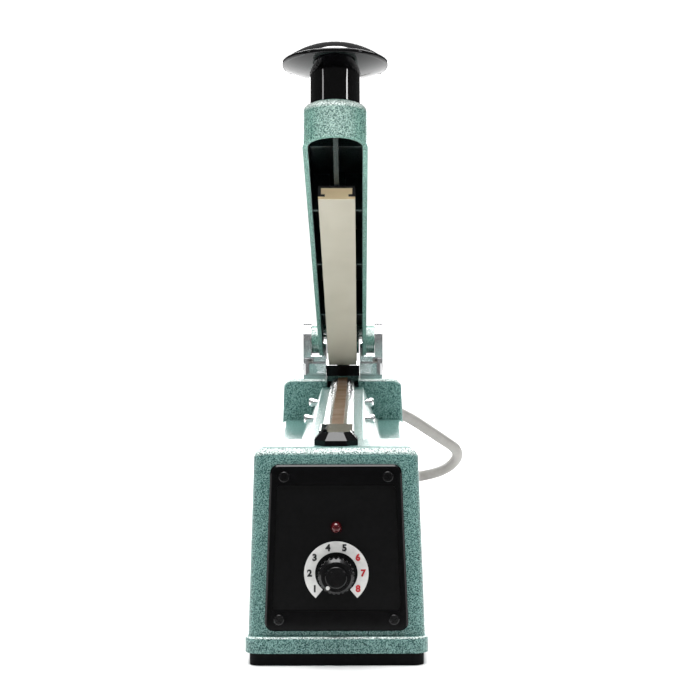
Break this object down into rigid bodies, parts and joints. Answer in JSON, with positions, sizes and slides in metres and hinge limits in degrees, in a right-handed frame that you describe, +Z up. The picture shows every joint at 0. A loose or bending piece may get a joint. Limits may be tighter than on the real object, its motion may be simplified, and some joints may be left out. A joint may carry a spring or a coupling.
{
  "type": "impulse heat sealer",
  "caption": "Hand impulse heat sealer: a sprung ribbed arm with a silicone strip closes on a heated bed along a cast body with a timer panel and mains lead.",
  "frame": {"origin": "under the middle of the rubber base, on the surface it stands on", "axes": "+Z up, +Y from the control panel to the hinge, +X to the right seen from the panel"},
  "size_m": [0.1485, 0.6804, 0.2851],
  "materials": {
    "hammertone_green": "hammertone enamel",
    "black_plastic": "moulded",
    "black_label": "printed film",
    "light_print": "print",
    "rubber_black": "matt",
    "steel": "plain",
    "blackened_steel": "blackened",
    "chrome": "bright plating",
    "aluminium": "polished",
    "ptfe_brown": "coated glass cloth",
    "brass": "plain",
    "nichrome": "ribbon",
    "silicone": "smooth",
    "red_lens": "clear tint",
    "board_green": "solder mask",
    "component": "moulded",
    "core_iron": "laminated",
    "winding": "taped",
    "cord_grey": "smooth"
  },
  "bodies": {
    "base": {"body_casting": "hammertone_green", "bottom_plate": "steel", "transformer_bracket": "steel", "transformer_screws": "steel", "bottom_screws": "steel", "spring_anchor": "steel", "return_springs": "steel", "hinge_pins": "steel", "switch_bracket": "steel", "switch_screws": "steel", "potentiometer_nut": "steel", "board_standoffs": "steel", "rubber_base": "rubber_black", "control_panel": "black_plastic", "terminal_cap": "black_plastic", "front_terminal": "black_plastic", "hinge_base": "black_plastic", "microswitch": "black_plastic", "timer_potentiometer": "black_plastic", "panel_label": "black_label", "dial_scale": "light_print", "panel_screws": "blackened_steel", "indicator_led": "red_lens", "timer_board": "board_green", "board_components": "component", "transformer_core": "core_iron", "transformer_winding": "winding", "sealing_rail": "aluminium", "rail_screws": "chrome", "left_hinge_bracket": "chrome", "right_hinge_bracket": "chrome", "bracket_screws": "chrome", "ptfe_cover": "ptfe_brown", "element_insulation": "ptfe_brown", "heating_element": "nichrome", "front_electrode": "brass", "rear_electrode": "brass", "electrode_screws": "brass", "plug_blades": "brass", "strain_relief": "cord_grey", "power_cord": "cord_grey", "cord_coil": "cord_grey", "plug_body": "cord_grey", "cord_tie": "rubber_black"},
    "arm": {"arm_casting": "hammertone_green", "spring_pin": "steel", "strip_holder": "blackened_steel", "silicone_strip": "silicone", "holder_screws": "steel", "press_knob": "black_plastic", "knob_screw": "steel"},
    "timer_dial": {"timer_shaft": "steel", "timer_knob": "black_plastic", "knob_pointer": "light_print"},
    "plunger": {"switch_plunger": "light_print"}
  },
  "joints": [
    {"name": "arm_hinge", "type": "hinge", "parent": "base", "child": "arm", "pos_m": [0, 0.189, 0.128], "axis": [1, 0, 0], "range_deg": [0, 17.75], "stiffness_Nm_per_rad": 6, "springref_deg": -20.05, "deforming": ["return_springs"]},
    {"name": "timer_turn", "type": "hinge", "parent": "base", "child": "timer_dial", "pos_m": [0, -0.225, 0.0426], "axis": [0, 1, 0], "range_deg": [0, 286]},
    {"name": "plunger_slide", "type": "slide", "parent": "base", "child": "plunger", "axis": [0, 1, 0], "range_m": [0, 0.0014]}
  ],
  "couplings": [
    {"joint": "plunger_slide", "follows": "arm_hinge", "m_per_rad": 0.0038735}
  ]
}
